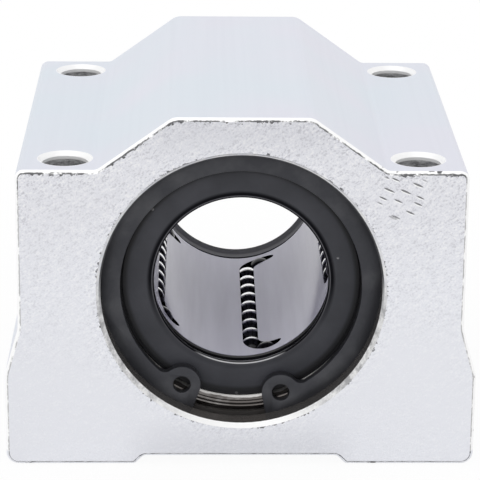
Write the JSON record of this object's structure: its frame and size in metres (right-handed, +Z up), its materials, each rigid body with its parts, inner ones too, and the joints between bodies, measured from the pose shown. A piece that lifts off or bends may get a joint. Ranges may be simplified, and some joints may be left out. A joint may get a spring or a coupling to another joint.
{
  "type": "linear bearing block",
  "caption": "Flanged aluminium block that carries a sealed recirculating-ball linear bushing between two circlips, with bolt holes through its shoulders",
  "frame": {"origin": "on the shaft axis, halfway along the block", "axes": "+Y along the shaft, +Z up from the base to the crown, +X across the block; the front end face looks towards -Y"},
  "size_m": [0.054, 0.05, 0.0415],
  "materials": {
    "anodised_block": "clear anodised, satin, with sawn end faces",
    "circlip_steel": "black phosphated spring steel",
    "sleeve_steel": "ground and turned bearing steel",
    "ball_steel": "polished bearing steel",
    "cage_resin": "smooth grey resin, satin",
    "ring_steel": "plain spring steel",
    "seal_rubber": "matt black moulded rubber"
  },
  "bodies": {
    "root": {"housing_block": "anodised_block", "front_circlip": "circlip_steel", "rear_circlip": "circlip_steel", "bearing_sleeve": "sleeve_steel", "ball_cage": "cage_resin", "front_inner_ring": "ring_steel", "rear_inner_ring": "ring_steel", "front_seal": "seal_rubber", "rear_seal": "seal_rubber", "load_balls_1": "ball_steel", "return_balls_1": "ball_steel", "front_turn_balls_1": "ball_steel", "rear_turn_balls_1": "ball_steel", "load_balls_2": "ball_steel", "return_balls_2": "ball_steel", "front_turn_balls_2": "ball_steel", "rear_turn_balls_2": "ball_steel", "load_balls_3": "ball_steel", "return_balls_3": "ball_steel", "front_turn_balls_3": "ball_steel", "rear_turn_balls_3": "ball_steel", "load_balls_4": "ball_steel", "return_balls_4": "ball_steel", "front_turn_balls_4": "ball_steel", "rear_turn_balls_4": "ball_steel", "load_balls_5": "ball_steel", "return_balls_5": "ball_steel", "front_turn_balls_5": "ball_steel", "rear_turn_balls_5": "ball_steel"}
  },
  "joints": []
}
